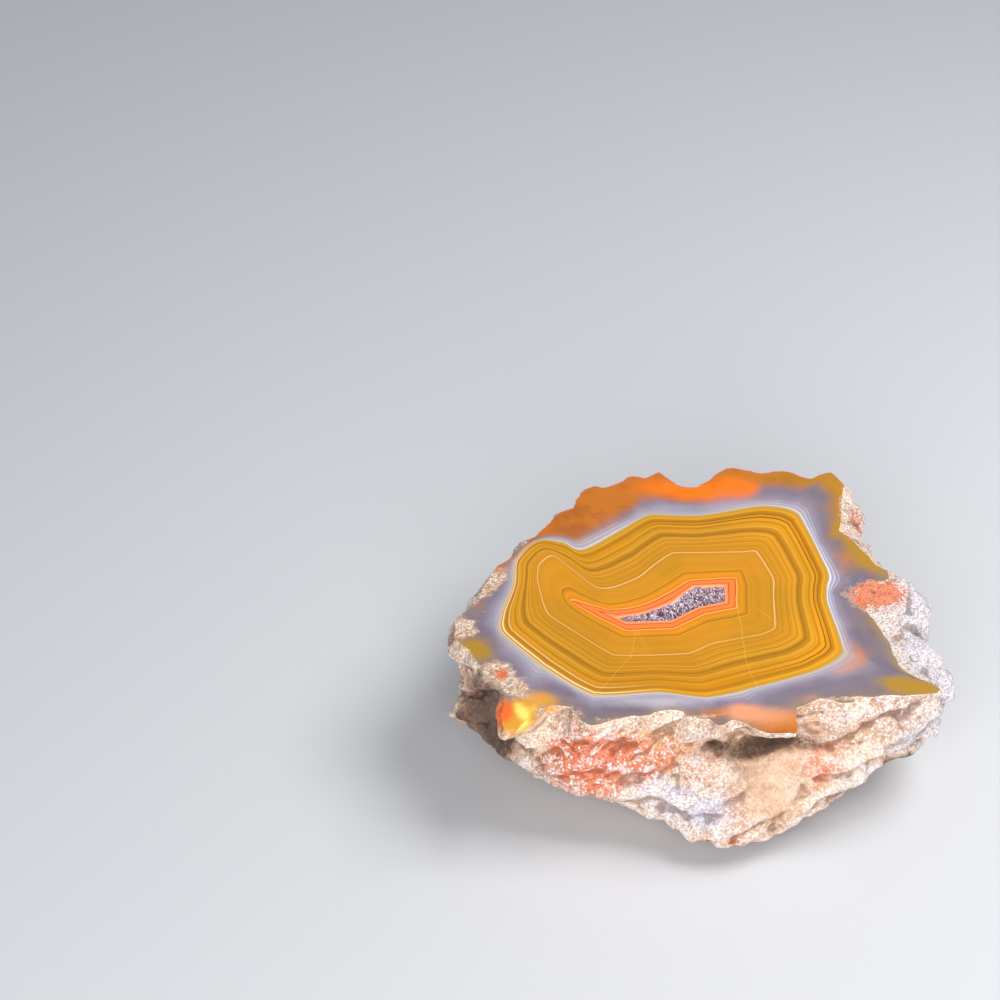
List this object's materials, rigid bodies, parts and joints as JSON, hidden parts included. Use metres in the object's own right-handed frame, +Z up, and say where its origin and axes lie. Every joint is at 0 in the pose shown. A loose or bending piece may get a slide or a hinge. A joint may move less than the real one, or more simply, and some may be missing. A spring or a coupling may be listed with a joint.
{
  "type": "agate nodule half",
  "caption": "Half of a split agate nodule: a flat polished cut with fortification banding round a small crystal-lined hollow, on a rough domed rind.",
  "frame": {"origin": "on the table, under the middle of the stone's bounding box, as it rests with the cut up", "axes": "+X along the cut's longer side, +Y away from the ragged front edge, +Z up"},
  "size_m": [0.0844, 0.0728, 0.0292],
  "materials": {
    "agate": "satin",
    "quartz_crystals": "gloss"
  },
  "bodies": {
    "root": {"agate_half": "agate", "druse_crust": "quartz_crystals"}
  },
  "joints": []
}
